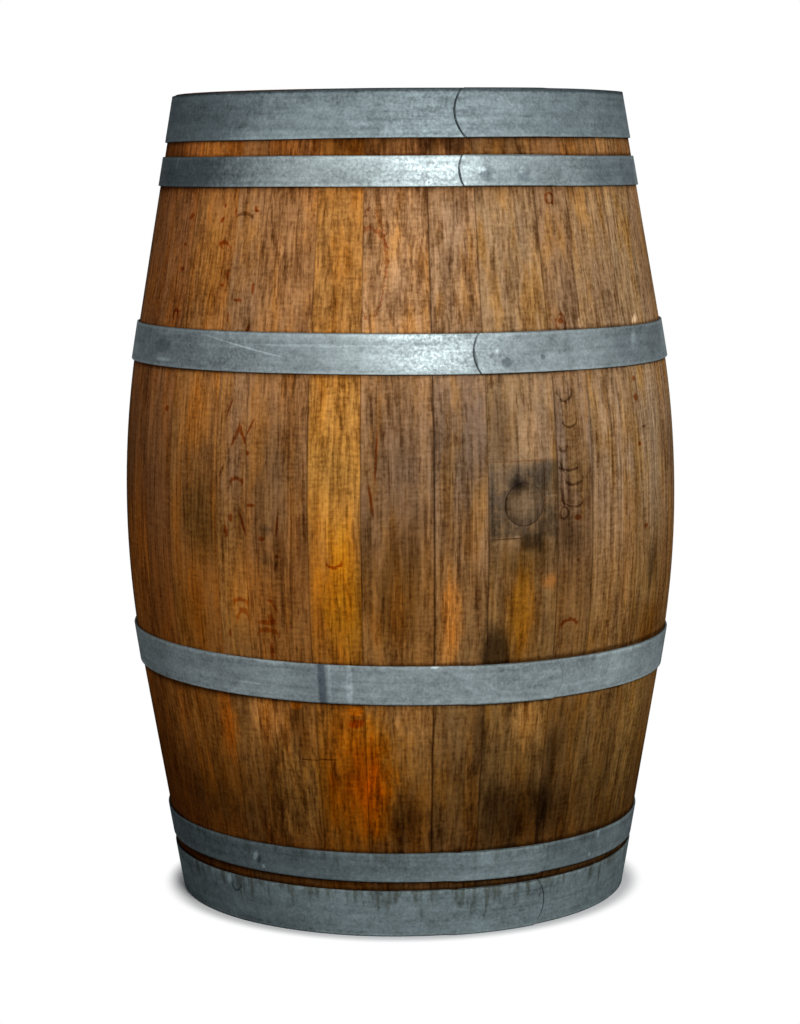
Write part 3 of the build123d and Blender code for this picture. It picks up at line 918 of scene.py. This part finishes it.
def galvanised_finish(hoop, seed):
    """Weathered zinc on a hoop: matte blue-grey, mottled, scuffed and worn at its edges, with painted shade
    and highlights.
    """
    zinc = hoop.zinc
    f = Finish("zinc_" + hoop.name)
    place = f.place()
    x, y, z = f.axes(place)
    cloud = f.noise((x * 9 + seed, y * 9, z * 24), 3, 0.55)
    mottle = f.noise((x * 90, y * 90, z * 130 + seed), 3, 0.6)
    speckle = f.noise(place, 2, 0.6, scale=300.0)
    leaning = scaled(tangent(VIEW_ANGLE), hoop.tilt / outer_radius(hoop.height))
    level = z + f.along(place, leaning) - hoop.height
    rolled = f.noise((x * 6, y * 6, level * 170 + seed), 3, 0.6)
    patch = f.noise((x * 36 + seed, y * 36, z * 60), 4, 0.65)
    tone = tone_of((cloud, 0.8), (rolled, 0.7), (patch, 0.8), (mottle, 0.7), (speckle, 1.0))
    colour = f.tint(1.0, f.ramp(tone * 0.5, ZINC_TONES), zinc.tone)
    dull = f.step(f.noise((x * 7, y * 7, z * 18 + seed), 4, 0.7), 0.48, 0.68)
    colour = f.tint(dull * 0.5, colour, CLOUDED_TINT)

    edge = abs(level) + (mottle - 0.5) * 0.003
    # Wear lightens a band inside each edge, and painted shade darkens the edge itself
    for insets, tint in ((WORN_EDGE, WORN_EDGE_TINT), (EDGE_SHADE, EDGE_SHADE_TINT)):
        low, high = (hoop.width / 2 - inset for inset in insets)
        colour = f.tint(f.step(edge, low, high) * 0.7, colour, tint)
    if zinc.drips:
        run = f.noise((x * 120, y * 120, z * 7 + seed), 3, 0.6)
        drips = f.step(run + level / hoop.width * 0.35, 0.56, 0.78)
        colour = f.tint(drips * zinc.drips, colour, DRIP_TINT)
    wobble = fleck_wobble(f, place)
    # Marks on the hoop: scratches and stains, and patches of painted shade and highlight
    for mark in HOOP_MARKS[hoop.name]:
        near = f.maths("GREATER_THAN", f.along(place, outward(mark.angle)), 0.0)
        colour = f.tint(fleck_mask(f, place, mark, wobble) * near, colour, mark.tint)

    turn = LAP_LENGTH / 2 / outer_radius(hoop.height)
    lap_end = x * (hoop.way * turn / sin(turn)) + level * level / (2 * lap_end_radius(hoop)) - LAP_LENGTH / 2
    lap_line = (1 - f.step(abs(lap_end), *LAP_LINE)) * f.maths("LESS_THAN", y, 0.0)
    colour = f.tint(lap_line * zinc.lap_dirt, colour, LAP_TINT)
    roughness = zinc.roughness + dull * 0.10 - (speckle - 0.5) * 0.4 - (rolled - 0.5) * 0.3
    shine = {"Metallic": zinc.metal, "Specular_IOR_Level": 0.0, "Specular_Tint": grey(GRAZING_SHINE)}
    return f.surface(colour, roughness, speckle * 0.4 + mottle * 0.6, ZINC_RELIEF, **shine)


def lap_end_radius(hoop):
    """Radius of the round free end of a hoop's strip."""
    return ((hoop.width / 2) ** 2 + hoop.bulge**2) / (2 * hoop.bulge)


# Meshes
# Degrees between faces above which an edge stays sharp
SHARP_ANGLE = 35
HOOP_SHARP_ANGLE = 50
RIVET_SHARP_ANGLE = 60
BOARD_SHARP_ANGLE = 28
# What tells the staves, hoops and rivets apart where their grain or shape is left to chance
STAVE_SEED_STEP = 3.7
HOOP_SEED_STEP = 5.3
FIRST_HOOP_SEED, FIRST_RIVET_SEED = 40, 60


def add_object(name, data):
    made = bpy.data.objects.new(name, data)
    bpy.context.scene.collection.objects.link(made)
    return made


def piece_of(mesh, materials, smooth):
    """Give a mesh its materials and smooth shading, and make it an object of the same name."""
    for material in materials:
        mesh.materials.append(material)
    mesh.shade_smooth()
    mesh.set_sharp_from_angle(angle=radians(smooth))
    return add_object(mesh.name, mesh)


def new_piece(name, points, faces, materials, slots=None, smooth=SHARP_ANGLE):
    """A mesh object at the origin. slots gives each face's place in materials."""
    mesh = bpy.data.meshes.new(name)
    mesh.from_pydata(points, [], faces)
    if slots:
        mesh.polygons.foreach_set("material_index", slots)
    return piece_of(mesh, materials, smooth)


def stands_for(piece, node, body):
    """The piece takes the place of a solid and moves with its body."""
    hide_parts(node)
    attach(piece, body)


OUTSIDE, SAWN_END, INSIDE = range(3)
OUTSIDE_ROWS = 56
INSIDE_ROWS = 20


def stave_section():
    """Points round a stave's section as (radius, height), and the surface that follows each point."""
    points = [(END_RADIUS - END_EASE, 0.0)]
    surfaces = [OUTSIDE]
    for row in range(OUTSIDE_ROWS + 1):
        z = END_EASE + (HEIGHT - 2 * END_EASE) * row / OUTSIDE_ROWS
        points.append((outer_radius(z), z))
        surfaces.append(OUTSIDE)
    end = [
        (END_RADIUS - END_EASE, 0.0),
        (END_RADIUS - CHIME_LAND, 0.0),
        (inner_radius(CHIME_BEVEL), CHIME_BEVEL),
        (inner_radius(CROZE_SETBACK), CROZE_SETBACK),
        (GROOVE_RADIUS, CROZE_SETBACK),
        (GROOVE_RADIUS, CROZE_SETBACK + CROZE_WIDTH),
    ]
    points += [(radius, HEIGHT - setback) for radius, setback in end]
    surfaces += [SAWN_END] * len(end)
    inside_end = CROZE_SETBACK + CROZE_WIDTH
    for row in range(INSIDE_ROWS + 1):
        z = HEIGHT - inside_end - (HEIGHT - 2 * inside_end) * row / INSIDE_ROWS
        points.append((inner_radius(z), z))
        surfaces.append(INSIDE if row < INSIDE_ROWS else SAWN_END)
    points += [(radius, setback) for radius, setback in reversed(end[1:])]
    surfaces += [SAWN_END] * (len(end) - 1)
    return points, surfaces


SECTION, SECTION_SURFACES = stave_section()
EDGE_DISTANCES = (0.0, 0.0002, 0.0005, 0.0014)
FACE_COLUMNS = 5


def stave_columns(first, last):
    """Angles of a stave's mesh columns in radians, each with how far its arris is taken down."""
    gap = JOINT_GAP / BILGE_RADIUS
    low, high = radians(first) + gap, radians(last) - gap
    columns = []
    for distance in EDGE_DISTANCES:
        short = max(ARRIS - distance, 0)
        columns.append((distance / BILGE_RADIUS, ARRIS - sqrt(ARRIS**2 - short**2)))
    span = high - low
    inset = columns[-1][0]
    middle = [low + inset + (span - 2 * inset) * k / (FACE_COLUMNS + 1) for k in range(1, FACE_COLUMNS + 1)]
    left = [(low + turn, drop) for turn, drop in columns]
    right = [(high - turn, drop) for turn, drop in reversed(columns)]
    return left + [(angle, 0.0) for angle in middle] + right


def stave_mesh(first, last, seed):
    """Points, faces and face surfaces of a stave."""
    luck = random.Random(seed)
    sunk = luck.uniform(0.0, 0.0003)
    bow = luck.uniform(0.0001, 0.0003)
    phase = luck.uniform(0, 2 * pi)
    centre, half = radians(first + last) / 2, radians(last - first) / 2
    columns = stave_columns(first, last)
    points = []
    for angle, drop in columns:
        flat = 1 - cos(half) / cos(angle - centre)
        for (radius, z), surface in zip(SECTION, SECTION_SURFACES):
            if surface == OUTSIDE:
                wave = bow * (1 + sin(z * 9 + phase))
                radius -= drop + sunk + wave + radius * flat * STAVE_FLATNESS
            points.append(on_wall(angle, radius, z))
    count = len(SECTION)
    faces, surfaces = [], []
    for column in range(len(columns) - 1):
        near, far = column * count, (column + 1) * count
        for k in range(count):
            after = (k + 1) % count
            faces.append((near + k, far + k, far + after, near + after))
            surfaces.append(SECTION_SURFACES[k])
    faces.append(tuple(range(count)))
    faces.append(tuple(reversed(range((len(columns) - 1) * count, len(columns) * count))))
    surfaces += [SAWN_END, SAWN_END]
    return points, faces, surfaces


def tube_faces(rows, count):
    """Faces of a closed tube of rows of points, count points in each, and of its two ends."""
    faces = []
    for row in range(rows - 1):
        near, far = row * count, (row + 1) * count
        for k in range(count):
            after = (k + 1) % count
            faces.append((near + k, near + after, far + after, far + k))
    faces.append(tuple(reversed(range(count))))
    faces.append(tuple(range((rows - 1) * count, rows * count)))
    return faces


def lathe(profile, turns, frame_point):
    """Points and faces of a profile of (radius, height), turned about the axis of frame_point(x, y, h)."""
    points = []
    for radius, h in profile:
        for k in range(turns):
            angle = 2 * pi * k / turns
            points.append(frame_point(radius * cos(angle), radius * sin(angle), h))
    return points, tube_faces(len(profile), turns)


BUNG_FACE = outer_radius(BUNG_LEVEL) - BUNG_RECESS
BUNG_TURNS = 64
CUTTER_TURNS = 72
CUTTER_ENDS = (-0.02, 0.05)     # from the bung's outer face


def into_wall(x, y, h):
    """Point beside the bung's axis, h metres in from the bung's outer face."""
    return (x, h - BUNG_FACE, BUNG_LEVEL - y)


def bung_cone_radius(depth):
    return BUNG_RADIUS - depth * BUNG_TAPER


def bore_bung_hole(piece, materials):
    """Cut the bung's taper hole through its stave."""
    shape = bmesh.new()
    shape.from_mesh(piece.data)
    bmesh.ops.triangulate(shape, faces=shape.faces)
    shape.to_mesh(piece.data)
    shape.free()
    profile = [(bung_cone_radius(depth) + BUNG_CLEARANCE, depth) for depth in CUTTER_ENDS]
    points, faces = lathe(profile, CUTTER_TURNS, into_wall)
    cutter = new_piece("bung_hole_cutter", points, faces, materials, [SAWN_END] * len(faces))
    cut = piece.modifiers.new("bung_hole", "BOOLEAN")
    cut.object = cutter
    cut.operation = "DIFFERENCE"
    cut.solver = "EXACT"
    graph = bpy.context.evaluated_depsgraph_get()
    bored = bpy.data.meshes.new_from_object(piece.evaluated_get(graph))
    piece.modifiers.clear()
    piece.data = bored
    bored.set_sharp_from_angle(angle=radians(SHARP_ANGLE))
    bpy.data.objects.remove(cutter)


def build_staves():
    end_grain = end_grain_finish()
    toasted = toasted_finish()
    ranges = stave_ranges()
    seeds = [STAVE_SEED_STEP * index + 1 for index in range(len(ranges))]
    joints = [stave_look(name, seed).joint for (name, _, _), seed in zip(ranges, seeds)]
    for index, (name, first, last) in enumerate(ranges):
        next_joint = joints[(index + 1) % len(joints)]
        outside = stave_finish(name, first, last, seeds[index], next_joint)
        materials = [outside, end_grain, toasted]
        points, faces, surfaces = stave_mesh(first, last, index)
        piece = new_piece("oak_" + name, points, faces, materials, surfaces)
        if name == "bung_stave":
            bore_bung_hole(piece, materials)
        stands_for(piece, name, "barrel")


def build_bung():
    rings = [
        (BUNG_RADIUS / 4, -BUNG_CROWN),
        (BUNG_RADIUS * 2 / 3, -BUNG_CROWN / 2),
        (BUNG_RADIUS - 2 * BUNG_EASE, 0.0),
        (BUNG_RADIUS - BUNG_EASE * 0.6, BUNG_EASE * 0.3),
    ]
    for depth in (BUNG_EASE, BUNG_LENGTH / 2, BUNG_LENGTH - BUNG_EASE):
        rings.append((bung_cone_radius(depth), depth))
    rings.append((bung_cone_radius(BUNG_LENGTH) - BUNG_EASE, BUNG_LENGTH))
    points, faces = lathe(rings, BUNG_TURNS, into_wall)
    piece = new_piece("oak_bung_plug", points, faces, [bung_finish()])
    stands_for(piece, "bung", "bung")


LAP_STATIONS = 10
JOGGLE_STATIONS = 5
RING_STATIONS = 220


def strip_loop(width):
    """Points round a hoop strip's section as (offset along its width, distance out)."""
    edge = HOOP_EDGE
    inset = width / 2 - edge
    loop = [(inset * k / 4, HOOP_THICKNESS) for k in range(-4, 5)]
    loop += [(inset + edge * 0.7, HOOP_THICKNESS - edge * 0.3), (inset + edge, HOOP_THICKNESS - edge)]
    loop += [(inset + edge, edge * 0.5), (inset, 0.0), (-inset, 0.0), (-inset - edge, edge * 0.5)]
    loop += [(-inset - edge, HOOP_THICKNESS - edge), (-inset - edge * 0.7, HOOP_THICKNESS - edge * 0.3)]
    return loop


def hoop_stations(hoop):
    """Distances along the strip from its free end, each with how far it stands over the lap, from 1 to 0."""
    joggle = LAP_LENGTH + JOGGLE_GAP
    stations = [(joggle * k / LAP_STATIONS, 1.0) for k in range(LAP_STATIONS + 1)]
    for k in range(1, JOGGLE_STATIONS + 1):
        share = k / JOGGLE_STATIONS
        stations.append((joggle + JOGGLE_LENGTH * share, 1 - share * share * (3 - 2 * share)))
    start = stations[-1][0]
    length = 2 * pi * outer_radius(hoop.height) + LAP_LENGTH
    for k in range(1, RING_STATIONS + 1):
        stations.append((start + (length - start) * k / RING_STATIONS, 0.0))
    return stations


def hoop_level(hoop, angle):
    """Height of a hoop's middle line at an angle in radians."""
    return hoop.height - hoop.tilt * sin(angle - radians(VIEW_ANGLE))


def hoop_mesh(hoop, seed):
    """Points and faces of a hoop's strip, lapped over itself with a round free end."""
    luck = random.Random(seed)
    phases = [luck.uniform(0, 2 * pi) for _ in range(4)]
    loop = strip_loop(hoop.width)
    base = outer_radius(hoop.height)
    end_radius = lap_end_radius(hoop)
    stations = hoop_stations(hoop)
    points = []
    for index, (distance, over) in enumerate(stations):
        for along, out in loop:
            setback = end_radius - sqrt(end_radius**2 - along**2)
            fade = max(1 - index / LAP_STATIONS, 0)
            turn = (distance + setback * fade - LAP_LENGTH / 2) / base
            angle = -hoop.way * turn
            z = hoop_level(hoop, angle)
            z += HOOP_WAVE * sin(3 * angle + phases[0]) + HOOP_RIPPLE * sin(7 * angle + phases[1])
            lift = HOOP_LIFT * (2 + sin(5 * angle + phases[2]) + sin(11 * angle + phases[3]))
            off = HOOP_CLEARANCE + lift + over * (HOOP_THICKNESS + LAP_GAP) + out
            lean = wall_lean(z)
            radius = outer_radius(z) + off * cos(lean) - along * sin(lean)
            points.append(on_wall(angle, radius, z + off * sin(lean) + along * cos(lean)))
    faces = tube_faces(len(stations), len(loop))
    return points, faces if hoop.way < 0 else [face[::-1] for face in faces]


def build_hoops():
    for index, hoop in enumerate(HOOPS):
        finish = galvanised_finish(hoop, HOOP_SEED_STEP * index)
        points, faces = hoop_mesh(hoop, FIRST_HOOP_SEED + index)
        piece = new_piece("strip_" + hoop.name, points, faces, [finish], smooth=HOOP_SHARP_ANGLE)
        stands_for(piece, hoop.name, "barrel")
        build_rivets(hoop, finish, FIRST_RIVET_SEED + index)


RIVET_RINGS = 8
RIVET_TURNS = 28


def build_rivets(hoop, finish, seed):
    """The two low rivet heads on a lap, hammered until they run out into the strip."""
    luck = random.Random(seed)
    points, faces = [], []
    for side in (-1, 1):
        angle = side * RIVET_PITCH / 2 / outer_radius(hoop.height)
        z = hoop_level(hoop, angle)
        lean = wall_lean(z)
        out = Vector((sin(angle) * cos(lean), -cos(angle) * cos(lean), sin(lean)))
        sideways = Vector((cos(angle), sin(angle), 0))
        upward = out.cross(sideways)
        seat = Vector(on_wall(angle, outer_radius(z), z))
        seat_rise = HOOP_CLEARANCE + 2 * HOOP_LIFT + 2 * HOOP_THICKNESS + LAP_GAP
        skew = luck.uniform(-0.0006, 0.0006)
        profile = [(RIVET_REACH, -RIVET_ROOT)]
        for ring in range(RIVET_RINGS):
            share = 1 - ring / RIVET_RINGS
            rise = hoop.rivet_rise * (0.5 + 0.5 * cos(pi * share))
            profile.append((RIVET_REACH * share, rise - RIVET_SINK))

        def on_seat(x, y, h):
            return seat + sideways * (x + skew * h / hoop.rivet_rise) + upward * y + out * (seat_rise + h)

        more_points, more_faces = lathe(profile, RIVET_TURNS, on_seat)
        faces += [tuple(k + len(points) for k in face) for face in more_faces]
        points += more_points
    piece = new_piece("rivets_" + hoop.name, points, faces, [finish], smooth=RIVET_SHARP_ANGLE)
    stands_for(piece, hoop.name + "_rivets", "barrel")


HEAD_TURNS = 144
HEAD_RIM = GROOVE_RADIUS - HEAD_CLEARANCE
RIM_MARGIN = 0.001              # nearer to the rim than this there is no joint


def head_profile():
    """Half section of a head as (radius, distance in from the barrel's end)."""
    root = inner_radius(CROZE_SETBACK) - TONGUE_RELIEF
    near = CROZE_SETBACK + HEAD_CLEARANCE
    far = CROZE_SETBACK + CROZE_WIDTH - HEAD_CLEARANCE
    face = near - HEAD_FACE_STEP
    back = face + HEAD_THICKNESS
    bevel = root - HEAD_BEVEL
    return [
        (bevel - HEAD_BEVEL_EASE * 4, face),
        (bevel - HEAD_BEVEL_EASE, face + HEAD_BEVEL_EASE * 0.05),
        (bevel + HEAD_BEVEL_EASE, face + HEAD_BEVEL_EASE * 0.5),
        (root, near),
        (HEAD_RIM, near),
        (HEAD_RIM, far),
        (root, far),
        (bevel, back),
    ]


def build_heads():
    share = 2 * HEAD_RIM / sum(HEAD_BOARD_WIDTHS)
    for end, at_top in (("top", True), ("bottom", False)):
        left = -HEAD_RIM
        for index, width in enumerate(HEAD_BOARD_WIDTHS):
            right = left + width * share
            name = f"{end}_head_board_{index + 1}"
            piece = head_board(name, at_top, left, right)
            stands_for(piece, name, "barrel")
            left = right


def head_board(name, at_top, left, right):
    """One board: the turned head cut at its two joints, with the cut edges eased."""
    luck = random.Random(name)
    light = luck.uniform(0.90, 1.08)
    material = board_finish("oak_" + name, luck.uniform(0, 50), light)

    def from_end(x, y, setback):
        return (x, y, HEIGHT - setback if at_top else setback)

    points, faces = lathe(head_profile(), HEAD_TURNS, from_end)
    shape = bmesh.new()
    corners = [shape.verts.new(p) for p in points]
    for face in faces:
        shape.faces.new([corners[k] for k in face])
    bmesh.ops.recalc_face_normals(shape, faces=shape.faces)
    for cut, way in ((left, -1), (right, 1)):
        if abs(cut) > HEAD_RIM - RIM_MARGIN:
            continue
        whole = list(shape.verts) + list(shape.edges) + list(shape.faces)
        joint, away = (cut - way * JOINT_GAP, 0, 0), (way, 0, 0)
        found = bmesh.ops.bisect_plane(shape, geom=whole, plane_co=joint, plane_no=away, clear_outer=True)
        cut_rim = [e for e in found["geom_cut"] if isinstance(e, bmesh.types.BMEdge)]
        bmesh.ops.holes_fill(shape, edges=cut_rim, sides=0)
    cut_edges = [
        e for e in shape.edges
        if len(e.link_faces) == 2 and e.calc_face_angle(0) > radians(60)
        and any(abs(abs(face.normal.x) - 1) < 0.001 for face in e.link_faces)
        and all(abs(v.co.x) < HEAD_RIM - 2 * RIM_MARGIN for v in e.verts)
    ]
    bmesh.ops.bevel(
        shape, geom=cut_edges, offset=BOARD_ARRIS, offset_type="OFFSET",
        segments=2, profile=0.5, affect="EDGES",
    )
    mesh = bpy.data.meshes.new("oak_" + name)
    shape.to_mesh(mesh)
    shape.free()
    return piece_of(mesh, [material], BOARD_SHARP_ANGLE)


def dress_dowels():
    finish = dowel_finish()
    for name in ("top_head_dowels", "bottom_head_dowels"):
        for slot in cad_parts[name].material_slots:
            slot.material = finish


# Stage
FLOOR_HALF = 8.0
FLOOR_FADE = (0.270, 0.294)     # distances from the axis between which the floor turns white
FLOOR_SEEN, FLOOR_BOUNCE = grey(0.95), grey(0.42)
FILL_COLOUR, FILL_STRENGTH = (0.95, 0.97, 1.0), 0.12

Lamp = namedtuple("Lamp", "name angle distance height size power target")
LAMPS = [
    Lamp("key", VIEW_ANGLE + 14, 3.3, 1.9, 1.2, 108, 0.60),
    Lamp("fill", VIEW_ANGLE - 60, 3.4, 1.4, 2.0, 3, 0.50),
    Lamp("back_top", VIEW_ANGLE + 190, 2.6, 2.4, 1.6, 40, 0.60),
]


def build_stage():
    """Pale floor that runs out to white and keeps the barrel's shadow close to it."""
    f = Finish("pale_floor")
    reach = f.node("VectorMath", {"operation": "LENGTH"}, {0: f.place()}, output="Value")
    seen = f.seen()
    plain = f.node("BsdfDiffuse", {}, {"Color": f.mix(seen, FLOOR_BOUNCE, FLOOR_SEEN)})
    glow = f.node("Emission", {}, {"Color": grey(1.0), "Strength": 1.0})
    shader = f.node("MixShader", {}, {0: f.step(reach, *FLOOR_FADE) * seen, 1: plain, 2: glow})
    f.node("OutputMaterial", {}, {"Surface": shader})
    corners = [(x * FLOOR_HALF, y * FLOOR_HALF, 0) for x, y in ((-1, -1), (1, -1), (1, 1), (-1, 1))]
    floor = new_piece("pale_floor", corners, [(0, 1, 2, 3)], [f.owner])


def build_world():
    """White to the eye and in reflections, and a dim fill otherwise."""
    f = Finish("studio", bpy.data.worlds)
    fill = f.node("Background", {}, {"Color": FILL_COLOUR, "Strength": FILL_STRENGTH})
    white = f.node("Background", {}, {"Color": grey(1.0), "Strength": 1.0})
    shader = f.node("MixShader", {}, {0: f.seen(), 1: fill, 2: white})
    f.node("OutputWorld", {}, {"Surface": shader})
    bpy.context.scene.world = f.owner


def softbox(lamp):
    """Square lamp at an angle round the barrel, facing a point on its axis."""
    light = bpy.data.lights.new(lamp.name, "AREA")
    light.shape = "SQUARE"
    light.size = lamp.size
    light.energy = lamp.power
    holder = add_object(lamp.name, light)
    holder.location = on_wall(radians(lamp.angle), lamp.distance, lamp.height)
    aim = Vector((0, 0, lamp.target)) - holder.location
    holder.rotation_euler = aim.to_track_quat("-Z", "Y").to_euler()


def build_camera():
    data = bpy.data.cameras.new("photo_camera")
    data.sensor_width = SENSOR
    data.lens = FOCAL_PIXELS * SENSOR / IMAGE_HEIGHT
    data.shift_x = (IMAGE_WIDTH / 2 - PRINCIPAL_COLUMN) / IMAGE_HEIGHT
    data.shift_y = (PRINCIPAL_ROW - IMAGE_HEIGHT / 2) / IMAGE_HEIGHT
    camera = add_object("photo_camera", data)
    turn = Matrix.Rotation(radians(VIEW_ANGLE), 3, "Z")
    tilt = Matrix.Rotation(radians(90 - VIEW_PITCH), 3, "X")
    roll = Matrix.Rotation(radians(VIEW_ROLL), 3, "Z")
    camera.location = on_wall(radians(VIEW_ANGLE), VIEW_DISTANCE, VIEW_HEIGHT)
    camera.rotation_euler = (turn @ tilt @ roll).to_euler()
    bpy.context.scene.camera = camera


build_staves()
build_bung()
build_hoops()
build_heads()
dress_dowels()
build_stage()
build_world()
for lamp in LAMPS:
    softbox(lamp)
build_camera()
bpy.context.scene.view_settings.view_transform = "Standard"
